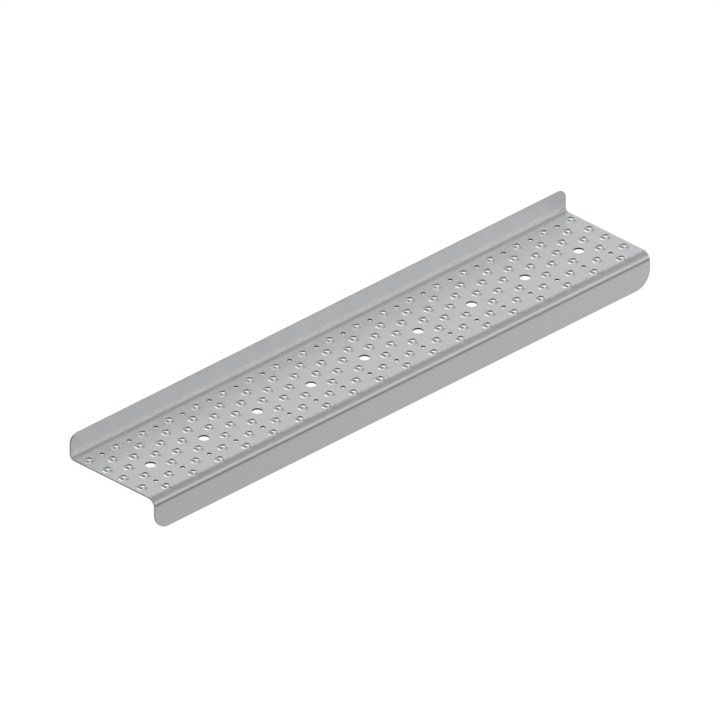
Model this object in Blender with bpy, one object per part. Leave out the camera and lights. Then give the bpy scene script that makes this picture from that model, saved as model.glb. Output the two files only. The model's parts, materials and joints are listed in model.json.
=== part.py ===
"""Scaffold plank: one steel sheet that is dimpled and pierced flat, then folded to a Z section.

Metres, +Z up. The length runs along X, the upstand rises at the back (+Y) and the skirt
hangs at the front (-Y). The origin is on the underside of the deck, at mid-length and mid-width.
The sheet is made in the order of the real one: blank, press tools, then two folds.
"""
from math import cos, pi, radians, sin

import bmesh
import bpy
from mathutils import Matrix, Vector

# Driving sizes of the folded sheet
LENGTH = 0.740              # end to end
WIDTH = 0.128               # back face of the upstand to front face of the skirt
SHEET = 0.002               # sheet thickness
UPSTAND_HEIGHT = 0.0268     # deck top to upper edge
SKIRT_DEPTH = 0.0388        # deck top to lower edge
REAR_BEND_RADIUS = 0.004    # inside radius, below the upstand
FRONT_BEND_RADIUS = 0.008   # inside radius, above the skirt
UPSTAND_CORNER = 0.010      # corner radius at both ends of the upstand
SKIRT_CORNER = 0.020        # corner radius at both ends of the skirt

# Driving sizes of the raised dimples and the plain holes
DIMPLE_BASE = 0.014         # diameter where the dimple leaves the deck
DIMPLE_RISE = 0.002         # rim above the deck top
DIMPLE_HOLE = 0.0058        # diameter of the hole in the rim
DIMPLE_MOUTH = 0.0118       # diameter of the hollow at the underside
DIMPLE_LAND = 0.0014        # straight wall under the rim
SMALL_HOLE = 0.005          # diameter
LARGE_HOLE = 0.012          # diameter

# Driving sizes of the pattern; a pitch is stretched a little where it has to fit a length
END_MARGIN = 0.010          # end of the sheet to the first column
COLUMN_PITCH = 0.040        # dimple to dimple along a row
BACK_MARGIN = 0.019         # back face to the first row
FRONT_MARGIN = 0.013        # front face to the last row
EDGE_ROW_GAP = 0.016        # spacing of the rows next to the edges
FIELD_ROW_PITCH = 0.012     # spacing of the rows in the middle field

# Facets
REAR_BEND_STEPS = 4
FRONT_BEND_STEPS = 6
CORNER_STEPS = 6
DIMPLE_SIDES = 8
SMALL_SIDES = 8
LARGE_SIDES = 16
OVERCUT = 0.0005            # how far a press tool runs past the face that it cuts or joins

# Worked out from the sizes above
MID = SHEET / 2
REAR_MID_RADIUS = REAR_BEND_RADIUS + MID
FRONT_MID_RADIUS = FRONT_BEND_RADIUS + MID
REAR_LINE = WIDTH / 2 - REAR_BEND_RADIUS - SHEET
FRONT_LINE = -WIDTH / 2 + FRONT_BEND_RADIUS + SHEET
QUARTER = pi / 2
UPSTAND_FLAT = UPSTAND_HEIGHT - REAR_BEND_RADIUS
SKIRT_FLAT = SKIRT_DEPTH - SHEET - FRONT_BEND_RADIUS
BLANK_BACK = REAR_LINE + REAR_MID_RADIUS * QUARTER + UPSTAND_FLAT
BLANK_FRONT = FRONT_LINE - FRONT_MID_RADIUS * QUARTER - SKIRT_FLAT


def spaced(first, last, pitch):
    """Even stations from first to last, as near as possible to the pitch."""
    steps = max(1, round((last - first) / pitch))
    return [first + (last - first) * step / steps for step in range(steps + 1)]


def midpoints(stations):
    """The places halfway between neighbouring stations."""
    return [(near + far) / 2 for near, far in zip(stations, stations[1:])]


def hole_pattern():
    """Centres of the dimples, the small holes and the large holes on the deck.

    Rows run from back to front and are staggered by half a pitch. The first row and the last
    but one have a small hole halfway between their dimples. In the fourth row from the front
    every other dimple gives way to a large hole.
    """
    columns = spaced(END_MARGIN - LENGTH / 2, LENGTH / 2 - END_MARGIN, COLUMN_PITCH)
    stagger = midpoints(columns)
    back_row = WIDTH / 2 - BACK_MARGIN
    front_row = FRONT_MARGIN - WIDTH / 2
    field_back = back_row - EDGE_ROW_GAP
    field_front = front_row + 2 * EDGE_ROW_GAP
    field = spaced(field_front, field_back, FIELD_ROW_PITCH)[::-1]
    rows = [back_row] + field + [front_row + EDGE_ROW_GAP, front_row]
    large_row = len(rows) - 4
    small_rows = (0, len(rows) - 2)

    dimples, small, large = [], [], []
    for number, y in enumerate(rows):
        stations = stagger if number % 2 else columns
        if number == large_row:
            large += [(x, y) for x in stations[1::2]]
            stations = stations[::2]
        dimples += [(x, y) for x in stations]
        if number in small_rows:
            small += [(x, y) for x in midpoints(stations)]
    return dimples, small, large


def new_object(name, shape):
    """Turn a bmesh into a named object in the scene."""
    mesh = bpy.data.meshes.new(name)
    shape.to_mesh(mesh)
    shape.free()
    item = bpy.data.objects.new(name, mesh)
    bpy.context.scene.collection.objects.link(item)
    return item


def press_tool(name, shape):
    """A helper that cuts or joins and isn't part of the plank."""
    tool = new_object(name, shape)
    tool.hide_render = True
    tool.display_type = "WIRE"
    return tool


def cone(shape, centre, low, low_radius, high, high_radius, sides):
    """Add a closed cone between two heights, with a flat turned to +X; return its new faces."""
    place = Matrix.Translation((*centre, (low + high) / 2)) @ Matrix.Rotation(pi / sides, 4, "Z")
    made = bmesh.ops.create_cone(
        shape, cap_ends=True, segments=sides, radius1=low_radius, radius2=high_radius,
        depth=high - low, matrix=place)
    return list({face for vert in made["verts"] for face in vert.link_faces})


def flat_blank():
    """The blank before any press work: a plate with two corner radii at each long edge."""
    shape = bmesh.new()
    middle = Vector((0, (BLANK_BACK + BLANK_FRONT) / 2, MID))
    size = (LENGTH, BLANK_BACK - BLANK_FRONT, SHEET)
    bmesh.ops.create_cube(shape, matrix=Matrix.Translation(middle) @ Matrix.Diagonal((*size, 1)))
    for at_back, radius in ((True, UPSTAND_CORNER), (False, SKIRT_CORNER)):
        corners = []
        for edge in shape.edges:
            near, far = edge.verts
            upright = abs(near.co.z - far.co.z) > MID
            if upright and (near.co.y > middle.y) == at_back:
                corners.append(edge)
        bmesh.ops.bevel(
            shape, geom=corners, offset=radius, offset_type="OFFSET", segments=CORNER_STEPS,
            profile=0.5, affect="EDGES")
    return shape


def dimple_crowns(dimples):
    """The raised side of every dimple: a cone that sinks into the deck and rises past its rim."""
    hole = DIMPLE_HOLE / 2
    spread = (DIMPLE_BASE / 2 - hole) / DIMPLE_RISE
    shape = bmesh.new()
    for centre in dimples:
        cone(shape, centre, SHEET - OVERCUT, DIMPLE_BASE / 2 + spread * OVERCUT,
             SHEET + DIMPLE_RISE + OVERCUT, hole - spread * OVERCUT, DIMPLE_SIDES)
    return shape


def punches(dimples, small, large):
    """What is taken away: each dimple's hollow with its hole, and the plain holes."""
    hole = DIMPLE_HOLE / 2
    lip = SHEET + DIMPLE_RISE - DIMPLE_LAND
    flare = (DIMPLE_MOUTH / 2 - hole) / lip
    above = SHEET + DIMPLE_RISE + 2 * OVERCUT
    shape = bmesh.new()
    for centre in dimples:
        faces = cone(shape, centre, -OVERCUT, DIMPLE_MOUTH / 2 + flare * OVERCUT, lip, hole, DIMPLE_SIDES)
        top = max(faces, key=lambda face: face.calc_center_median().z)
        raised = bmesh.ops.extrude_discrete_faces(shape, faces=[top])["faces"]
        bmesh.ops.translate(shape, verts=raised[0].verts, vec=(0, 0, above - lip))
    for centres, diameter, sides in ((small, SMALL_HOLE, SMALL_SIDES), (large, LARGE_HOLE, LARGE_SIDES)):
        for centre in centres:
            cone(shape, centre, -OVERCUT, diameter / 2, above, diameter / 2, sides)
    return shape


def pressed(blank, crowns, cutters):
    """Join the crowns to the blank, take the punches out and keep the result as a plain mesh."""
    for tool, operation in ((crowns, "UNION"), (cutters, "DIFFERENCE")):
        modifier = blank.modifiers.new(tool.name, "BOOLEAN")
        modifier.operation = operation
        modifier.solver = "EXACT"
        modifier.object = tool
    evaluated = blank.evaluated_get(bpy.context.evaluated_depsgraph_get())
    mesh = bpy.data.meshes.new_from_object(evaluated)
    blank.modifiers.clear()
    blank.data = mesh
    for tool in (crowns, cutters):
        bpy.data.objects.remove(tool)


def bent(beyond, offset, radius):
    """Where a point goes that lies some way past a bend line, before the bend's side is chosen.

    The middle of the sheet keeps its length: a quarter turn of the middle radius, then straight on.
    Returns how far along the deck, how far off the deck and how the offset from the middle turns.
    """
    angle = min(beyond / radius, QUARTER)
    straight = beyond - radius * angle
    along = radius * sin(angle) + straight * cos(angle)
    away = radius * (1 - cos(angle)) + straight * sin(angle)
    return along, away, offset * sin(angle), offset * cos(angle)


def fold(mesh):
    """Crease the pressed sheet at the stations of both bends, then turn its edges up and down."""
    shape = bmesh.new()
    shape.from_mesh(mesh)
    creases = [REAR_LINE + REAR_MID_RADIUS * QUARTER * step / REAR_BEND_STEPS
               for step in range(REAR_BEND_STEPS + 1)]
    creases += [FRONT_LINE - FRONT_MID_RADIUS * QUARTER * step / FRONT_BEND_STEPS
                for step in range(FRONT_BEND_STEPS + 1)]
    for line in creases:
        everything = shape.verts[:] + shape.edges[:] + shape.faces[:]
        bmesh.ops.bisect_plane(shape, geom=everything, dist=1e-6, plane_co=(0, line, 0), plane_no=(0, 1, 0))
    bmesh.ops.triangulate(shape, faces=shape.faces[:], quad_method="BEAUTY", ngon_method="BEAUTY")
    for vert in shape.verts:
        offset = vert.co.z - MID
        if vert.co.y > REAR_LINE:
            along, rise, inward, up = bent(vert.co.y - REAR_LINE, offset, REAR_MID_RADIUS)
            vert.co.y = REAR_LINE + along - inward
            vert.co.z = MID + rise + up
        elif vert.co.y < FRONT_LINE:
            along, drop, outward, up = bent(FRONT_LINE - vert.co.y, offset, FRONT_MID_RADIUS)
            vert.co.y = FRONT_LINE - along - outward
            vert.co.z = MID - drop + up
    shape.to_mesh(mesh)
    shape.free()


def galvanised_steel():
    """Light grey zinc-coated steel."""
    material = bpy.data.materials.new("galvanised_steel")
    material.use_nodes = True
    shader = material.node_tree.nodes["Principled BSDF"]
    shader.inputs["Base Color"].default_value = (0.53, 0.54, 0.55, 1.0)
    shader.inputs["Metallic"].default_value = 1.0
    shader.inputs["Roughness"].default_value = 0.42
    return material


def main():
    """Build the plank in an empty scene."""
    for item in list(bpy.data.objects):
        bpy.data.objects.remove(item)
    dimples, small, large = hole_pattern()
    sheet = new_object("plank_sheet", flat_blank())
    crowns = press_tool("crown_dies", dimple_crowns(dimples))
    cutters = press_tool("punches", punches(dimples, small, large))
    pressed(sheet, crowns, cutters)
    fold(sheet.data)
    sheet.data.shade_smooth()
    sheet.data.set_sharp_from_angle(angle=radians(20))
    sheet.data.materials.clear()
    sheet.data.materials.append(galvanised_steel())
    print(f"{len(dimples)} dimples, {len(small)} small holes, {len(large)} large holes")


main()
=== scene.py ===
# %% [markdown]
# # A perforated scaffold plank, made from one sheet
#
# The real plank starts as a flat strip of zinc-coated steel. Press tools raise its grip dimples and
# punch its holes, and then a press brake folds one long edge up and the other one down.
# This lesson follows the same order. The sheet is drawn flat, as a net of points with two
# coordinates, and one formula folds every point to its place. The row of dimples on the start of the
# front bend then needs only one more line, where it would be hard to model on the finished shape.

# %% The frame that everything is built in
import json
from math import cos, pi, radians, sin, tan

import bpy
import numpy as np
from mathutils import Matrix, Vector


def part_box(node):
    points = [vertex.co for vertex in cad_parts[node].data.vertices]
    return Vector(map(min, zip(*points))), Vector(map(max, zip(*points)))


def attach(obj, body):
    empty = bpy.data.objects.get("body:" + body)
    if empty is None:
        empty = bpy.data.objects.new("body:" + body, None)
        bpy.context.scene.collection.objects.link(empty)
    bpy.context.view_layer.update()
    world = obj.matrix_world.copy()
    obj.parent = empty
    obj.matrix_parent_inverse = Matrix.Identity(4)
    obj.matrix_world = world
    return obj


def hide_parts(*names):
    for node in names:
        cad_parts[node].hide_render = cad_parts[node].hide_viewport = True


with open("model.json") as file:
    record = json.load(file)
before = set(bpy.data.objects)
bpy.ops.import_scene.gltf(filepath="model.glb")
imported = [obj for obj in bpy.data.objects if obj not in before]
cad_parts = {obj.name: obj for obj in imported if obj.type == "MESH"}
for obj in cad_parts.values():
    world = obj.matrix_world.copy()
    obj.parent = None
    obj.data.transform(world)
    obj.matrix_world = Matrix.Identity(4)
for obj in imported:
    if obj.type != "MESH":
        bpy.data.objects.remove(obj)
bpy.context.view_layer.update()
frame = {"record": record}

# %% [markdown]
# ## The camera
#
# All long edges of the plank are parallel in the photograph, and the edges along the length and
# across the width slope alike, one up and one down. That is a parallel view from 45 degrees to the
# left of the front and 30 degrees above the floor, so the camera is orthographic. Its scale is the
# photograph's width divided by the pixels that a metre takes.

# %% Camera
PHOTO_SIDE = 720                       # pixels
PIXELS_PER_METRE = 946
CAMERA_TURN = radians(-45)             # from the front, negative to the left
CAMERA_RISE = radians(30)
AIM = Vector((-0.0072, -0.0074, 0.002))  # the point in the middle of the picture, on the deck
CAMERA_DISTANCE = 2.0


def outward_from(turn, rise):
    """The unit vector that points to a viewer at this turn from the front and rise above the floor."""
    return Vector((sin(turn) * cos(rise), -cos(turn) * cos(rise), sin(rise)))


def look_back(item, outward):
    """Turn a camera or lamp so that it looks along minus the outward vector, with its top up."""
    item.rotation_euler = outward.to_track_quat("Z", "Y").to_euler()


camera_data = bpy.data.cameras.new("camera")
camera_data.type = "ORTHO"
camera_data.ortho_scale = PHOTO_SIDE / PIXELS_PER_METRE
camera = bpy.data.objects.new("camera", camera_data)
bpy.context.scene.collection.objects.link(camera)
to_camera = outward_from(CAMERA_TURN, CAMERA_RISE)
camera.location = AIM + to_camera * CAMERA_DISTANCE
look_back(camera, to_camera)
bpy.context.scene.camera = camera
print("camera looks from", tuple(round(value, 3) for value in to_camera))

# %% [markdown]
# ## Sizes of the folded sheet
#
# The overall sizes come from the packed model's box and from the two mounts on the deck, so the
# surface made here can't drift away from the solid that it stands for. Only the bend radii, the
# corner radii and the press work are written down again.

# %% Sizes
low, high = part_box("plank_sheet")
mount_height = {mount["name"]: mount["pos_m"][2] for mount in frame["record"]["mounts"]}
UNDERSIDE = mount_height["deck_underside"]
SHEET = mount_height["deck_top"] - UNDERSIDE
LENGTH = high.x - low.x
WIDTH = high.y - low.y
REAR_INSIDE = 0.004                    # bend radii on the inner side
FRONT_INSIDE = 0.008
UPSTAND_CORNER = 0.010                 # corner radii of the two folded edges
SKIRT_CORNER = 0.020
EDGE_ROUND = 0.00012                   # the burr-free round on every sheared edge

MID = SHEET / 2
REAR_RADIUS = REAR_INSIDE + MID        # bend radii of the middle of the sheet
FRONT_RADIUS = FRONT_INSIDE + MID
QUARTER = pi / 2
REAR_LINE = SHEET + REAR_INSIDE        # bend lines, measured from the back face across the flat sheet
FRONT_LINE = WIDTH - SHEET - FRONT_INSIDE
REAR_FLAT = REAR_LINE - REAR_RADIUS * QUARTER
FRONT_FLAT = FRONT_LINE + FRONT_RADIUS * QUARTER
BACK_EDGE = REAR_FLAT - (high.z - UNDERSIDE - REAR_LINE)
FRONT_EDGE = FRONT_FLAT + (UNDERSIDE - FRONT_INSIDE - low.z)
print(f"flat sheet {1000 * LENGTH:.1f} x {1000 * (FRONT_EDGE - BACK_EDGE):.1f} x {1000 * SHEET:.1f} mm")

# %% [markdown]
# ## The fold
#
# A point of the flat sheet has a place along the length, a place across the sheet (counted from the
# back face) and a height above the middle of the sheet. Beyond a bend line the middle of the sheet
# runs round a quarter circle and then straight on, and the height turns with it. Everything here
# takes whole arrays, so the complete sheet is folded by one call.


# %% Fold formula
def bend(beyond, height, radius):
    """A quarter turn of the given radius and then straight on, for points past a bend line.

    The first result is the way along the deck, the second the way off the deck, and the last two
    say how the height above the middle of the sheet is shared between those two directions.
    """
    angle = np.clip(beyond / radius, 0, QUARTER)
    straight = beyond - radius * angle
    along = radius * np.sin(angle) + straight * np.cos(angle)
    away = radius * (1 - np.cos(angle)) + straight * np.sin(angle)
    return along, away, height * np.sin(angle), height * np.cos(angle)


def fold(length, across, height):
    """Flat sheet coordinates to points in the frame: rear edge up, front edge down."""
    at_back = across < REAR_LINE
    at_front = across > FRONT_LINE
    along, rise, inward, up = bend(REAR_LINE - across, height, REAR_RADIUS)
    rear_across, rear_height = REAR_LINE - along + inward, rise + up
    along, drop, outward, up = bend(across - FRONT_LINE, height, FRONT_RADIUS)
    front_across, front_height = FRONT_LINE + along + outward, up - drop
    folded = np.where(at_back, rear_across, np.where(at_front, front_across, across))
    raised = np.where(at_back, rear_height, np.where(at_front, front_height, height))
    return np.stack((length, WIDTH / 2 - folded, UNDERSIDE + MID + raised), axis=-1)


print("deck middle folds to", fold(np.zeros(1), np.full(1, WIDTH / 2), np.zeros(1))[0])

# %% [markdown]
# ## The pattern of dimples and holes
#
# Rows are staggered by half a pitch, so the deck can be read as narrow strips across the sheet: strips
# with a dimple in every odd row alternate with strips that have one in every even row. Small holes
# fill the even strips in two of the odd rows, and a large hole takes every second place in one row.
# In a strip, no two features come close, so each one gets a rectangular cell of its own. The cells
# end halfway between neighbours.

# %% Pattern
COLUMN_PITCH = 0.040
ROWS = np.array([0.019, 0.035, 0.047, 0.059, 0.071, 0.083, 0.099, 0.115])  # from the back face
SMALL_ROWS = (0, 6)
LARGE_ROW = 4
LARGE_FIRST = 2                        # the first strip with a large hole
LARGE_EVERY = 4                        # strips from one large hole to the next
STRIP = COLUMN_PITCH / 2
STRIPS = round(LENGTH / STRIP)
FIRST_CELL = 0.011                     # how far the outermost cells reach past their features
LAST_CELL = {"odd": 0.012, "even": 0.009}

strip_edges = np.linspace(-LENGTH / 2, LENGTH / 2, STRIPS + 1)
strip_rows = {
    "odd": [(row, "dimple") for row in range(0, len(ROWS), 2)],
    "even": sorted([(row, "small") for row in SMALL_ROWS]
                   + [(row, "dimple") for row in range(1, len(ROWS), 2)]),
}


def cell_edges(kind):
    """Edges of a strip's cells across the sheet: halfway between features, and a margin at both ends."""
    centres = np.array([ROWS[row] for row, _ in strip_rows[kind]])
    halfway = (centres[:-1] + centres[1:]) / 2
    return np.concatenate(([centres[0] - FIRST_CELL], halfway, [centres[-1] + LAST_CELL[kind]]))


for kind in strip_rows:
    print(kind, "strips have cell edges at", np.round(1000 * cell_edges(kind), 1), "mm")

# %% [markdown]
# ## The net of the flat sheet
#
# One rectangular net of points covers the sheet. Its lines across the length follow the strips, and
# its lines along the length pass through every cell edge and get denser in the bends. At the four
# rounded corners the end of the net is drawn in, so that its border follows the corner's arc.

# %% Net lines
STRIP_STEPS = 5                        # net steps across one strip
FIELD_STEP = 0.0034                    # longest net step across the deck
BEND_STEP = 0.0013                     # net step round the bends
FLANGE_STEP = 0.006                    # longest net step on the upstand and on the skirt
STEP_SLACK = 1e-6                      # share of a step that rounding may add without one more step
MICROMETRES = 6                        # digits to which cell edges of both kinds of strip are merged
CORNER_STEPS = 8
HOLD = 0.0004                          # a narrow step next to the border keeps flat faces flat to the eye
CORNER_REACH = 2 * STRIP               # stretch of the net that is drawn in at a corner


def filled(stops, step):
    """All the stops, with even in-between values so that no gap is wider than the step."""
    runs = [np.linspace(a, b, max(1, int(np.ceil((b - a) / step - STEP_SLACK))), endpoint=False)
            for a, b in zip(stops[:-1], stops[1:])]
    return np.concatenate(runs + [[stops[-1]]])


def corner_lines(edge, inward, radius):
    """Net lines in a rounded corner: equal turns of its arc, seen from the edge of the sheet."""
    turns = np.linspace(0, QUARTER, CORNER_STEPS + 1)
    return edge + inward * (EDGE_ROUND + (radius - EDGE_ROUND) * (1 - np.cos(turns)))


back_corner = corner_lines(BACK_EDGE, 1, UPSTAND_CORNER)
front_corner = corner_lines(FRONT_EDGE, -1, SKIRT_CORNER)[::-1]
deck_stops = np.concatenate((cell_edges("odd"), cell_edges("even")))
deck_stops = np.unique(np.round(deck_stops, MICROMETRES))
field_stops = deck_stops[deck_stops < FRONT_LINE]
across_lines = np.concatenate((
    back_corner[:1], [back_corner[0] + HOLD], back_corner[2:-1],
    filled([back_corner[-1], REAR_FLAT], FLANGE_STEP)[:-1],
    filled([REAR_FLAT, REAR_LINE], BEND_STEP)[:-1],
    filled([REAR_LINE, *field_stops, FRONT_LINE], FIELD_STEP)[:-1],
    filled([FRONT_LINE, deck_stops[-1], FRONT_FLAT], BEND_STEP)[:-1],
    filled([FRONT_FLAT, front_corner[0]], FLANGE_STEP)[:-1],
    front_corner[:-2], [front_corner[-1] - HOLD], front_corner[-1:],
))
net_end = LENGTH / 2 - EDGE_ROUND
length_lines = filled([-net_end + HOLD, *strip_edges[1:-1], net_end - HOLD], STRIP / STRIP_STEPS)
length_lines = np.concatenate(([-net_end], length_lines, [net_end]))
print(len(length_lines), "x", len(across_lines), "net lines")


# %% Net border at the corners
def corner_turn(across):
    """Sine and cosine of the border's turn at each line: 1 and 0 along the ends, less in a corner."""
    back = (UPSTAND_CORNER - (across - BACK_EDGE)) / (UPSTAND_CORNER - EDGE_ROUND)
    front = (SKIRT_CORNER - (FRONT_EDGE - across)) / (SKIRT_CORNER - EDGE_ROUND)
    lean = np.clip(back, 0, 1) - np.clip(front, 0, 1)
    return np.sqrt(np.clip(1 - lean ** 2, 0, 1)), lean


def half_length(across):
    """How far the net reaches from mid-length, which is less where a corner is rounded."""
    reach, lean = corner_turn(across)
    radius = np.where(lean > 0, UPSTAND_CORNER, SKIRT_CORNER) - EDGE_ROUND
    return net_end - radius * (1 - reach)


along, across = np.meshgrid(length_lines, across_lines, indexing="ij")
inner = LENGTH / 2 - CORNER_REACH
beyond = np.clip(np.abs(along) - inner, 0, None)
drawn_in = beyond * (half_length(across) - inner) / (net_end - inner)
along = np.sign(along) * (np.minimum(np.abs(along), inner) + drawn_in)
print("half length runs from", round(1000 * half_length(across_lines).min(), 2), "mm")

# %% [markdown]
# ## Profiles of a dimple and of a plain hole
#
# A dimple is a ring of metal that the punch has drawn up round a hole. Walked from the deck inwards its
# profile flares up, ever steeper, turns over a small rounded rim and drops down the wall of the hole,
# and underneath it comes back out as a hollow. The flare is a power curve whose exponent makes it meet
# the rim at a chosen lean. A plain hole is only the rounded edge, the wall and the rounded edge below.
# Both are lists of radius and height, from the outermost ring on top to the outermost ring below.
# Two more numbers go with each ring: how much of the dark colour shows there, which is bare cut edge
# on the rim and painted shade on the wall and in the hollow, and whether the ring belongs to the crown,
# which the fold leaves square to the deck.

# %% Ring profiles
DIMPLE_BASE = 0.0070                   # radii
DIMPLE_HOLE = 0.0029
DIMPLE_RIM = 0.0003
DIMPLE_MOUTH = 0.0059
DIMPLE_RISE = 0.0020
DIMPLE_LAND = 0.0014                   # from the top of the rim down the straight wall
DIMPLE_LEAN = radians(46)              # slope of the flare where it meets the rim
DIMPLE_BARE_AND_SHADE = 0.60                           # a dimple's rings get less of the dark colour, bare steel and painted shade, than a punched hole
FLARE_RINGS = 8
RIM_BARE_AND_SHADE = (0, 0, 0.3, 1.0)            # share of the dark colour, bare steel and painted shade, on each ring of the rim,
HOLLOW_BARE_AND_SHADE = (1.0, 0.3, 0, 0, 0)      # of the hollow under it, where it is painted shade,
HOLE_BARE_AND_SHADE = (0, 0, 0.6, 1.0)           # and of a punched hole, down to the middle of its wall, where it is painted shade
HOLE_TURNS = np.radians((0, 45, 90))   # stations on the rounded edge of a punched hole
SMALL_HOLE = 0.0025
LARGE_HOLE = 0.0060


def dimple_profile():
    """Rings of a drawn dimple: power-curve flare, rounded rim, wall, then the hollow below.

    The flare's height is its share of the way from the base to the rim, raised to a power.
    """
    rim_middle = DIMPLE_HOLE + DIMPLE_RIM
    top = MID + DIMPLE_RISE
    flare_end = rim_middle + DIMPLE_RIM * sin(DIMPLE_LEAN)
    flare_rise = DIMPLE_RISE - DIMPLE_RIM * (1 - cos(DIMPLE_LEAN))
    power = tan(DIMPLE_LEAN) * (DIMPLE_BASE - flare_end) / flare_rise
    share = np.linspace(0, 1, FLARE_RINGS)
    flare_radius = DIMPLE_BASE + (flare_end - DIMPLE_BASE) * share
    flare_height = MID + flare_rise * share ** power
    turn = np.array((DIMPLE_LEAN / 2, 0, -QUARTER / 2, -QUARTER))
    rim_radius = rim_middle + DIMPLE_RIM * np.sin(turn)
    rim_height = top - DIMPLE_RIM * (1 - np.cos(turn))
    lip = top - DIMPLE_LAND
    hollow = np.linspace(0, 1, len(HOLLOW_BARE_AND_SHADE))
    hollow_radius = DIMPLE_HOLE + (DIMPLE_MOUTH - DIMPLE_HOLE) * hollow
    hollow_height = lip - (lip + MID) * hollow
    radius = np.concatenate((flare_radius, rim_radius, hollow_radius))
    height = np.concatenate((flare_height, rim_height, hollow_height))
    # the dark share: bare steel on the rim, painted shade down the wall and in the hollow
    cut = DIMPLE_BARE_AND_SHADE * np.concatenate((np.zeros(FLARE_RINGS), RIM_BARE_AND_SHADE, HOLLOW_BARE_AND_SHADE))
    crown = np.concatenate((share > 0, np.ones(len(turn)), hollow < 1)).astype(float)
    return radius, height, cut, crown


def hole_profile(hole):
    """Rings of a punched hole: a flat ring, a rounded edge, the wall and the same again below."""
    edge_radius = hole + EDGE_ROUND * (1 - np.sin(HOLE_TURNS))
    edge_height = MID - EDGE_ROUND * (1 - np.cos(HOLE_TURNS))
    radius = np.concatenate(([hole + 2 * HOLD], edge_radius))
    height = np.concatenate(([MID], edge_height))
    return (np.concatenate((radius, radius[::-1])), np.concatenate((height, -height[::-1])),
            np.concatenate((HOLE_BARE_AND_SHADE, HOLE_BARE_AND_SHADE[::-1])), np.zeros(2 * len(radius)))


PROFILES = {
    "dimple": dimple_profile(),
    "small": hole_profile(SMALL_HOLE),
    "large": hole_profile(LARGE_HOLE),
}
print({name: len(rings[0]) for name, rings in PROFILES.items()}, "rings")

# %% [markdown]
# ## Filling the cells
#
# Each cell of the net is emptied, and rings lead from the cell's border down to the hole and back out to
# the border of the lower face. The points of a ring are spread evenly round its circle, one for each
# point of the border, so the rings join the net without gaps. The upper and the lower skin are then
# one closed surface, and only the outer border is left open.

# %% Cells
length_count, across_count = along.shape
skin = length_count * across_count     # points of one skin; the lower skin follows the upper one
flat_points = [np.stack((along, across, np.full_like(along, MID)), -1).reshape(-1, 3),
               np.stack((along, across, np.full_like(along, -MID)), -1).reshape(-1, 3)]
flat_bare_and_shade = [np.zeros(2 * skin)]
flat_crown = [np.zeros(2 * skin)]
quads = []
emptied = np.zeros((length_count - 1, across_count - 1), bool)


def add_rings(rings, cut, crown):
    """Keep the points of some rings, with each ring's share of bare steel and painted shade and its crown
    share; returns the points' numbers.
    """
    ring_count, count = rings.shape[:2]
    first_number = sum(len(block) for block in flat_points)
    flat_points.append(rings.reshape(-1, 3))
    flat_bare_and_shade.append(np.repeat(cut, count))
    flat_crown.append(np.repeat(crown, count))
    return first_number + np.arange(ring_count * count).reshape(ring_count, count)


def ring_quads(rings):
    """Quads between rows of point numbers; each row runs round a loop and closes on itself."""
    turned = np.roll(rings, -1, axis=1)
    corners = (rings[:-1], turned[:-1], turned[1:], rings[1:])
    return np.stack(corners, -1).reshape(-1, 4)


def border_loop(first, last, near, far):
    """Point numbers round a block of the net, from its first corner, along the length first."""
    lengths = np.arange(first, last)
    acrosses = np.arange(near, far)
    return np.concatenate((lengths * across_count + near, last * across_count + acrosses,
                           lengths[::-1] * across_count + across_count + far,
                           first * across_count + acrosses[::-1] + 1))


def fill_cell(centre, feature, first, last, near, far):
    """Empty one block of the net and run the feature's rings from its upper to its lower border.

    A ring starts half a side before the middle of the block's back side, so that its points face
    those of the border.
    """
    radius, height, cut, crown = PROFILES[feature]
    loop = border_loop(first, last, near, far)
    count = len(loop)
    start = -QUARTER - pi * (last - first) / count
    angles = start + 2 * pi * np.arange(count) / count
    rings = np.stack((
        centre[0] + radius[:, None] * np.cos(angles),
        centre[1] + radius[:, None] * np.sin(angles),
        np.broadcast_to(height[:, None], (len(radius), count))), -1)
    numbers = add_rings(rings, cut, crown)
    quads.append(ring_quads(np.concatenate((loop[None], numbers, loop[None] + skin))))
    emptied[first:last, near:far] = True


print("a skin has", skin, "points")

# %% Filled cells
tally = dict.fromkeys(PROFILES, 0)
for strip in range(STRIPS):
    kind = "even" if strip % 2 else "odd"
    edges = cell_edges(kind)
    first, last = 1 + STRIP_STEPS * strip, 1 + STRIP_STEPS * (strip + 1)
    middle = (strip_edges[strip] + strip_edges[strip + 1]) / 2
    for (row, feature), edge, next_edge in zip(strip_rows[kind], edges, edges[1:]):
        if row == LARGE_ROW and strip % LARGE_EVERY == LARGE_FIRST:
            feature = "large"
        near = int(np.argmin(np.abs(across_lines - edge)))
        far = int(np.argmin(np.abs(across_lines - next_edge)))
        fill_cell((middle, ROWS[row]), feature, first, last, near, far)
        tally[feature] += 1
print(tally)

# %% [markdown]
# ## Plain skins and the cut edge
#
# What is left of the net becomes plain quads, once on top and once, turned over, underneath. A narrow
# band then runs round the whole border: it leaves the upper skin, turns over a small round, crosses the
# thickness of the sheet and returns to the lower skin. On the real plank this is the sheared edge.

# %% Skins
i, j = np.nonzero(~emptied)
corner = i * across_count + j
upper = np.stack((corner, corner + across_count, corner + across_count + 1, corner + 1), -1)
quads.append(upper)
quads.append(upper[:, ::-1] + skin)
print(len(upper), "plain quads on each skin")

# %% Edge band
SHEARED = 0.31                         # a sheared edge takes less of the dark colour than the wall of a punched hole, where it is also painted shade
BAND_TURNS = np.radians((30, 60, 90))  # stations on the round of the sheared edge
SAME_PLACE = 1e-7                      # lengths that differ by less are equal

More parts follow.
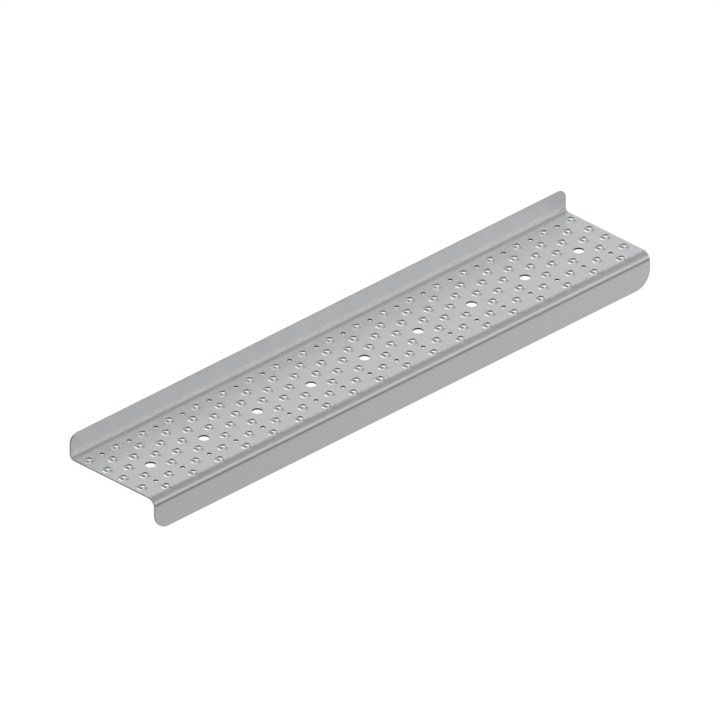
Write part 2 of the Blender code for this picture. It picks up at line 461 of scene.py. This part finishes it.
loop = border_loop(0, length_count - 1, 0, across_count - 1)
loop_across = flat_points[0][loop, 1]
loop_along = flat_points[0][loop, 0]
reach, lean = corner_turn(loop_across)
on_end = np.abs(np.abs(loop_along) - half_length(loop_across)) < SAME_PLACE
out_along = np.where(on_end, np.sign(loop_along) * reach, 0)
out_across = np.where(on_end, -lean, np.where(loop_across < 0, -1, 1))
round_out = EDGE_ROUND * np.sin(BAND_TURNS)
round_height = MID - EDGE_ROUND * (1 - np.cos(BAND_TURNS))
band_out = np.concatenate((round_out, round_out[::-1]))[:, None]
band_height = np.concatenate((round_height, -round_height[::-1]))[:, None]
band = np.stack((loop_along + band_out * out_along, loop_across + band_out * out_across,
                 np.broadcast_to(band_height, (len(band_out), len(loop)))), -1)
numbers = add_rings(band, np.full(len(band), SHEARED), np.zeros(len(band)))
quads.append(ring_quads(np.concatenate((loop[None], numbers, loop[None] + skin)))[:, ::-1])
print(len(loop), "points round the border")

# %% [markdown]
# ## Folding the net into a mesh
#
# All points go through the fold in one call. Points of the net that lie inside an emptied cell belong to
# no face, so they are dropped. A dimple is stiffer than the sheet round it, so the brake doesn't curl it:
# on the bend, its crown stays where it was pressed and only its outermost rings go down with the sheet.
# The share of the dark colour, which is bare cut edge and painted shade in the holes, and the height above
# the sheet are kept as attributes of the points, because the finish needs them later.

# %% Folded points
flat = np.concatenate(flat_points)
faces = np.concatenate(quads)
bare_and_shade_share = np.concatenate(flat_bare_and_shade)
crown_share = np.concatenate(flat_crown)
used, faces = np.unique(faces, return_inverse=True)
faces = faces.reshape(-1, 4)[:, ::-1]
flat, bare_and_shade_share, crown_share = flat[used], bare_and_shade_share[used], crown_share[used]
points = fold(flat[:, 0], flat[:, 1], flat[:, 2])
unbent = np.stack((flat[:, 0], WIDTH / 2 - flat[:, 1], UNDERSIDE + MID + flat[:, 2]), -1)
points += crown_share[:, None] * (unbent - points)
raised_share = np.clip((flat[:, 2] - MID) / DIMPLE_RISE, 0, 1)
print(len(points), "points and", len(faces), "quads are in use")

# %% Mesh
SHARP_FROM = radians(50)               # edges that turn by more than this are shaded as sharp

sheet_mesh = bpy.data.meshes.new("pressed_sheet")
sheet_mesh.from_pydata(points, [], faces)
sheet_mesh.shade_smooth()
sheet_mesh.set_sharp_from_angle(angle=SHARP_FROM)
# the first attribute is the share of bare edge and of painted shade in the holes
for name, values in (("cut_edge", bare_and_shade_share), ("raised", raised_share)):
    layer = sheet_mesh.attributes.new(name, "FLOAT", "POINT")
    layer.data.foreach_set("value", values.astype(np.float32))
plank = bpy.data.objects.new("pressed_sheet", sheet_mesh)
bpy.context.scene.collection.objects.link(plank)
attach(plank, "root")
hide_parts("plank_sheet")
print(plank.name, "has", 2 * len(faces), "triangles")

# %% [markdown]
# ## Writing shader maths as Python
#
# A material is a graph of nodes, which takes many lines to wire by hand. The small class below wraps one
# output socket. Adding or multiplying two of them adds the Math node that does it, and every other node
# comes from the method called add. So the finish can be read like a formula.


# %% Shader wires
class Wire:
    """One output socket of a node tree that can be used in sums."""

    def __init__(self, tree, socket=None):
        self.tree = tree
        self.socket = socket

    def add(self, kind, settings=None, values=None, out=0):
        """Add a node: its settings first, then its socket values or links; returns one output."""
        node = self.tree.nodes.new(kind)
        for name, value in (settings or {}).items():
            if name == "stops":
                set_stops(node.color_ramp, value)
            else:
                setattr(node, name, value)
        for name, value in (values or {}).items():
            if isinstance(value, Wire):
                self.tree.links.new(value.socket, node.inputs[name])
            else:
                node.inputs[name].default_value = value
        return Wire(self.tree, node.outputs[out])

    def math(self, operation, first, second):
        """Add a Math node on two wires or numbers."""
        return self.add("ShaderNodeMath", {"operation": operation}, {0: first, 1: second})

    def __add__(self, other):
        return self.math("ADD", self, other)

    def __radd__(self, other):
        return self.math("ADD", other, self)

    def __sub__(self, other):
        return self.math("SUBTRACT", self, other)

    def __rsub__(self, other):
        return self.math("SUBTRACT", other, self)

    def __mul__(self, other):
        return self.math("MULTIPLY", self, other)

    def __rmul__(self, other):
        return self.math("MULTIPLY", other, self)


print("a number may stand first in", [name.strip("_") for name in vars(Wire) if name.startswith("__r")])


# %% Ramps and colours
def set_stops(ramp, stops):
    """Give a colour ramp exactly these stops, each a position and a grey level."""
    while len(ramp.elements) > 1:
        ramp.elements.remove(ramp.elements[-1])
    for number, (position, level) in enumerate(stops):
        stop = ramp.elements[0] if number == 0 else ramp.elements.new(position)
        stop.position = position
        stop.color = (level, level, level, 1)


def colour_mix(wire, share, first, second):
    """A blend of two colours by a share between 0 and 1."""
    return wire.add("ShaderNodeMix", {"data_type": "RGBA"},
                    {"Factor": share, "A": first, "B": second}, out="Result")


print("ramps and colours go through", set_stops.__name__, "and", colour_mix.__name__)

# %% [markdown]
# ## Galvanised steel
#
# Hot-dip zinc is a light, slightly bluish grey with a satin shine. Close up it shows faint crystals, a
# cloudy bloom and the rolling marks of the sheet along its length. Boots polish the rims of the dimples,
# and where the sheet was sheared or punched the bare edge is darker and duller. The very dark grey on the
# walls of the holes and in the hollows under the dimples is painted shade. Nobody steps on the upstand,
# so it keeps a rougher bloom, and the deck is only a soft gleam in it. All of these are kept faint,
# because from a step away the plank looks like one even grey.

# %% Finish values
ZINC = (0.54, 0.545, 0.55, 1)
ZINC_DARK = (0.52, 0.525, 0.53, 1)
# far darker than bare steel: the sheared edge's colour, and painted shade on hole walls and hollows
BARE_STEEL_AND_HOLE_SHADE = (0.10, 0.10, 0.10, 1)
RUBBED = (0.57, 0.575, 0.58, 1)
RUBBED_MOST = 0.5                      # share of the rubbed colour on top of a rim
METALLIC = 0.60
GRAIN_SCALE = 150.0                    # crystals in a metre
GRAIN_SHARE = 0.45                     # the crystals' share of the shading, the bloom has the rest
BLOOM_SCALE = 22.0
BLOOM_DETAIL = 4.0
ROLLING_SCALE = (6.0, 900.0, 900.0)    # rolling marks are long and narrow
ROLLING_DETAIL = 2.0
ROLLING_DEPTH = 0.0002
ROLLING_STRENGTH = 0.05
SATIN = 0.20                           # roughness of clean zinc
ROUGHER = {"bloom": 0.03, "grain": 0.02, "rolling": 0.02, "cut": 0.05, "unworn": 0.16}  # what each adds
UNWORN_FROM = UNDERSIDE + REAR_LINE    # the height where the rear bend ends and the upstand starts
UNWORN_BLEND = 0.006                   # the way up over which its rougher bloom sets in
print(f"the upstand is rougher from {1000 * UNWORN_FROM:.1f} mm up")


# %% Finish
def galvanised():
    """The sheet's finish: crystals, bloom, rolling marks, rubbed rims, bare edges with painted shade in the
    holes, unworn upstand.
    """
    material = bpy.data.materials.new("galvanised_steel")
    material.use_nodes = True
    tree = material.node_tree
    shader = tree.nodes["Principled BSDF"]
    wire = Wire(tree)
    place = wire.add("ShaderNodeTexCoord", out="Object")
    cut = wire.add("ShaderNodeAttribute", {"attribute_name": "cut_edge"}, out="Fac")
    raised = wire.add("ShaderNodeAttribute", {"attribute_name": "raised"}, out="Fac")
    grains = wire.add("ShaderNodeTexVoronoi", None, {"Vector": place, "Scale": GRAIN_SCALE}, out="Color")
    grain = wire.add("ShaderNodeSeparateColor", None, {"Color": grains})
    bloom = wire.add("ShaderNodeTexNoise", None,
                     {"Vector": place, "Scale": BLOOM_SCALE, "Detail": BLOOM_DETAIL})
    long_place = wire.add("ShaderNodeMapping", None, {"Vector": place, "Scale": ROLLING_SCALE})
    rolling = wire.add("ShaderNodeTexNoise", None,
                       {"Vector": long_place, "Scale": 1.0, "Detail": ROLLING_DETAIL})
    up = wire.add("ShaderNodeSeparateXYZ", None, {"Vector": place}, out="Z")
    unworn = wire.add("ShaderNodeMapRange", None, {
        "Value": up, "From Min": UNWORN_FROM, "From Max": UNWORN_FROM + UNWORN_BLEND})
    shade = GRAIN_SHARE * grain + (1 - GRAIN_SHARE) * bloom
    zinc = colour_mix(wire, shade, ZINC_DARK, ZINC)
    zinc = colour_mix(wire, RUBBED_MOST * raised, zinc, RUBBED)
    # the very dark colour: bare steel on sheared edges, painted shade on the walls and hollows of the holes
    zinc = colour_mix(wire, cut, zinc, BARE_STEEL_AND_HOLE_SHADE)
    rough = SATIN + ROUGHER["bloom"] * bloom + ROUGHER["grain"] * grain + ROUGHER["rolling"] * rolling
    rough = rough + ROUGHER["cut"] * cut + ROUGHER["unworn"] * unworn
    bump = wire.add("ShaderNodeBump", None, {
        "Strength": ROLLING_STRENGTH, "Distance": ROLLING_DEPTH, "Height": rolling}, out="Normal")
    tree.links.new(zinc.socket, shader.inputs["Base Color"])
    tree.links.new(rough.socket, shader.inputs["Roughness"])
    tree.links.new(bump.socket, shader.inputs["Normal"])
    shader.inputs["Metallic"].default_value = METALLIC
    return material


sheet_mesh.materials.append(galvanised())
print("finish has", len(sheet_mesh.materials[0].node_tree.nodes), "nodes")

# %% [markdown]
# ## Floor and studio light
#
# Metal looks like what it reflects, so the studio round the plank is drawn as levels in every direction.
# One side of it is lit: a white floor, a dark strip where floor and wall meet, a light band above that and
# a dimmer ceiling. The bends show these one after another. The other side is dim above a white floor. Only
# the floor on the camera's side is dark, and it shows in the far walls of the holes. White panels stand in
# a few places, among them the backdrop that the deck mirrors and the panel that puts a bright crescent on
# each dimple. Where the plank mirrors itself, its second image of the studio is brighter than a true one,
# because the photograph shows the upstand and the deck beside it hardly any darker than the rest. That
# image has two dark places, which draw the line along the rear bend. All other light comes evenly from all
# sides and from two lamps that stay out of the reflections. The camera sees the floor and the world as
# plain white.

# %% Floor
FLOOR_DROP = 0.25                      # below the lowest edge of the plank, which hangs in the air
FLOOR_RADIUS = 1.1
FLOOR_SIDES = 96
FLOOR_GREY = (0.20, 0.20, 0.20, 1)
FLOOR_GLOW = 0.885                     # what the camera sees on top of the lit floor

angles = np.arange(FLOOR_SIDES) * 2 * pi / FLOOR_SIDES
rim = np.stack((FLOOR_RADIUS * np.cos(angles), FLOOR_RADIUS * np.sin(angles),
                np.full(FLOOR_SIDES, low.z - FLOOR_DROP)), -1)
floor_mesh = bpy.data.meshes.new("floor")
floor_mesh.from_pydata(rim, [], [list(range(FLOOR_SIDES))])
floor = bpy.data.objects.new("floor", floor_mesh)
bpy.context.scene.collection.objects.link(floor)
floor.visible_glossy = False           # the floor that the metal mirrors is drawn in the world

floor_paint = bpy.data.materials.new("floor_paint")
floor_paint.use_nodes = True
tree = floor_paint.node_tree
tree.nodes.remove(tree.nodes["Principled BSDF"])
wire = Wire(tree)
seen = wire.add("ShaderNodeLightPath", out="Is Camera Ray")
lit = wire.add("ShaderNodeBsdfDiffuse", None, {"Color": FLOOR_GREY})
glow = wire.add("ShaderNodeEmission", None, {"Strength": FLOOR_GLOW * seen})
both = wire.add("ShaderNodeAddShader", None, {0: lit, 1: glow})
tree.links.new(both.socket, tree.nodes["Material Output"].inputs["Surface"])
floor_mesh.materials.append(floor_paint)
print("floor at", round(low.z - FLOOR_DROP, 4), "m")

# %% Studio levels
LIT_SIDE = (                           # height of the direction, from -1 to 1, and level
    (-1.0, 0.85), (-0.50, 1.05), (-0.38, 0.63), (-0.28, 0.04), (-0.06, 0.0), (0.02, 0.12), (0.08, 0.40),
    (0.17, 0.96), (0.28, 1.20), (0.36, 1.06), (0.47, 0.80), (0.56, 0.43), (0.66, 0.40), (1.0, 0.40),
)
DARK_SIDE = (
    (-1.0, 0.0), (-0.10, 0.0), (0.10, 0.25), (0.25, 0.36), (0.50, 0.10), (0.61, 0.14), (0.80, 0.18),
    (1.0, 0.24),
)
BACK_FLOOR = ((-1.0, 0.85), (-0.30, 0.85), (-0.06, 0.0), (1.0, 0.0))
SECOND_IMAGE = ((-1.0, 0.0), (0.0, 0.0), (0.15, 0.85), (0.26, 1.40), (0.45, 2.80), (1.0, 2.80))
LIT_FROM = Vector((1, -1, 0)).normalized()
LIT_SHARPNESS = 4
CAMERA_SIDE = Vector((-1, -1, 0)).normalized()
FLOOR_SHARPNESS = 4
PANELS = (
    ((0.245, 0.57, 0.785), 55, 4.90),  # towards, sharpness, level added in the middle
    ((0.20, -0.56, 0.80), 50, 1.90),
    ((0.0, -0.40, 0.92), 30, 1.20),
    ((0.22, 0.10, 0.97), 30, 0.80),
    ((-0.35, 0.66, 0.66), 12, 0.40),
    ((0.40, 0.42, 0.81), 40, 0.36),
    ((0.60, 0.68, 0.42), 12, 0.85),
    ((0.90, 0.33, 0.28), 40, 0.60),
)
SECOND_DARK = (                        # what the rear bend shows in its second image
    ((0.61, -0.43, 0.66), 40, -2.55),
    ((0.61, -0.12, 0.78), 40, -2.40),
)
FILL = 0.40                            # even light from all sides for what isn't a mirror image
print(len(PANELS), "panels and", len(SECOND_DARK), "dark places")

# %% Studio wires
world = bpy.data.worlds.new("studio")
bpy.context.scene.world = world
world.use_nodes = True
tree = world.node_tree
wire = Wire(tree)
direction = wire.add("ShaderNodeTexCoord", out="Generated")
height = wire.add("ShaderNodeSeparateXYZ", None, {"Vector": direction}, out="Z")


def toward(way):
    """How directly a ray points one way: 1 straight at it, 0 square to it, -1 away from it."""
    return wire.add("ShaderNodeVectorMath", {"operation": "DOT_PRODUCT"},
                    {0: direction, 1: way}, out="Value")


def wall(levels):
    """A wall whose level changes with height, given as the height of the direction and the level."""
    stops = [((1 + rise) / 2, level) for rise, level in levels]
    return wire.add("ShaderNodeValToRGB", {"stops": stops}, {"Fac": 0.5 * height + 0.5})


def spots(places):
    """The sum of some round spots, each given as its direction, its sharpness and the level it adds."""
    total = 0.0
    for way, sharpness, added in places:
        facing = wire.math("MAXIMUM", toward(Vector(way).normalized()), 0.0)
        total = total + added * wire.math("POWER", facing, sharpness)
    return total


print(world.name, "is ready to be drawn")

# %% World
BETWEEN_IMAGES = 1.5                   # a first mirror image has a depth of 1 and a second one of 2

lit_share = wire.math("POWER", 0.5 * toward(LIT_FROM) + 0.5, LIT_SHARPNESS)
beside_camera = 1 - wire.math("MAXIMUM", toward(CAMERA_SIDE), 0.0)
floor_share = wire.math("POWER", 1 - lit_share, FLOOR_SHARPNESS) * beside_camera * beside_camera
walls = wall(DARK_SIDE) * (1 - lit_share) + wall(LIT_SIDE) * lit_share + wall(BACK_FLOOR) * floor_share
seen = wire.add("ShaderNodeLightPath", out="Is Camera Ray")
glossy = wire.add("ShaderNodeLightPath", out="Is Glossy Ray")
through = wire.add("ShaderNodeLightPath", out="Is Transmission Ray")
mirrored = wire.math("MAXIMUM", glossy, through)
images = wire.add("ShaderNodeLightPath", out="Glossy Depth")
second = wire.math("GREATER_THAN", images, BETWEEN_IMAGES)
first_level = walls + spots(PANELS)
second_level = wire.math("MAXIMUM", wall(SECOND_IMAGE) + spots(SECOND_DARK), 0.0)
level = first_level * (1 - second) + second_level * second
shown = seen + mirrored * level + (1 - seen) * (1 - mirrored) * FILL
tree.links.new(shown.socket, tree.nodes["Background"].inputs["Color"])
bpy.context.scene.view_settings.view_transform = "Standard"
print("studio has", len(tree.nodes), "nodes")

# %% Lamps
LAMP_DISTANCE = 2.5


def softbox(name, way, width, depth, brightness):
    """A square-cornered lamp some way from the plank; brightness is what a mirror would show."""
    lamp = bpy.data.lights.new(name, "AREA")
    lamp.shape = "RECTANGLE"
    lamp.size = width
    lamp.size_y = depth
    lamp.energy = brightness * pi * width * depth
    item = bpy.data.objects.new(name, lamp)
    bpy.context.scene.collection.objects.link(item)
    outward = Vector(way).normalized()
    item.location = outward * LAMP_DISTANCE
    look_back(item, outward)
    item.visible_glossy = False
    item.visible_camera = False


softbox("ceiling_fill", way=(0.0, 0.1, 1.0), width=3.0, depth=3.0, brightness=0.55)
softbox("front_fill", way=(0.6, -1.0, 0.35), width=2.4, depth=1.6, brightness=4.0)
print(len(bpy.data.lights), "lamps")
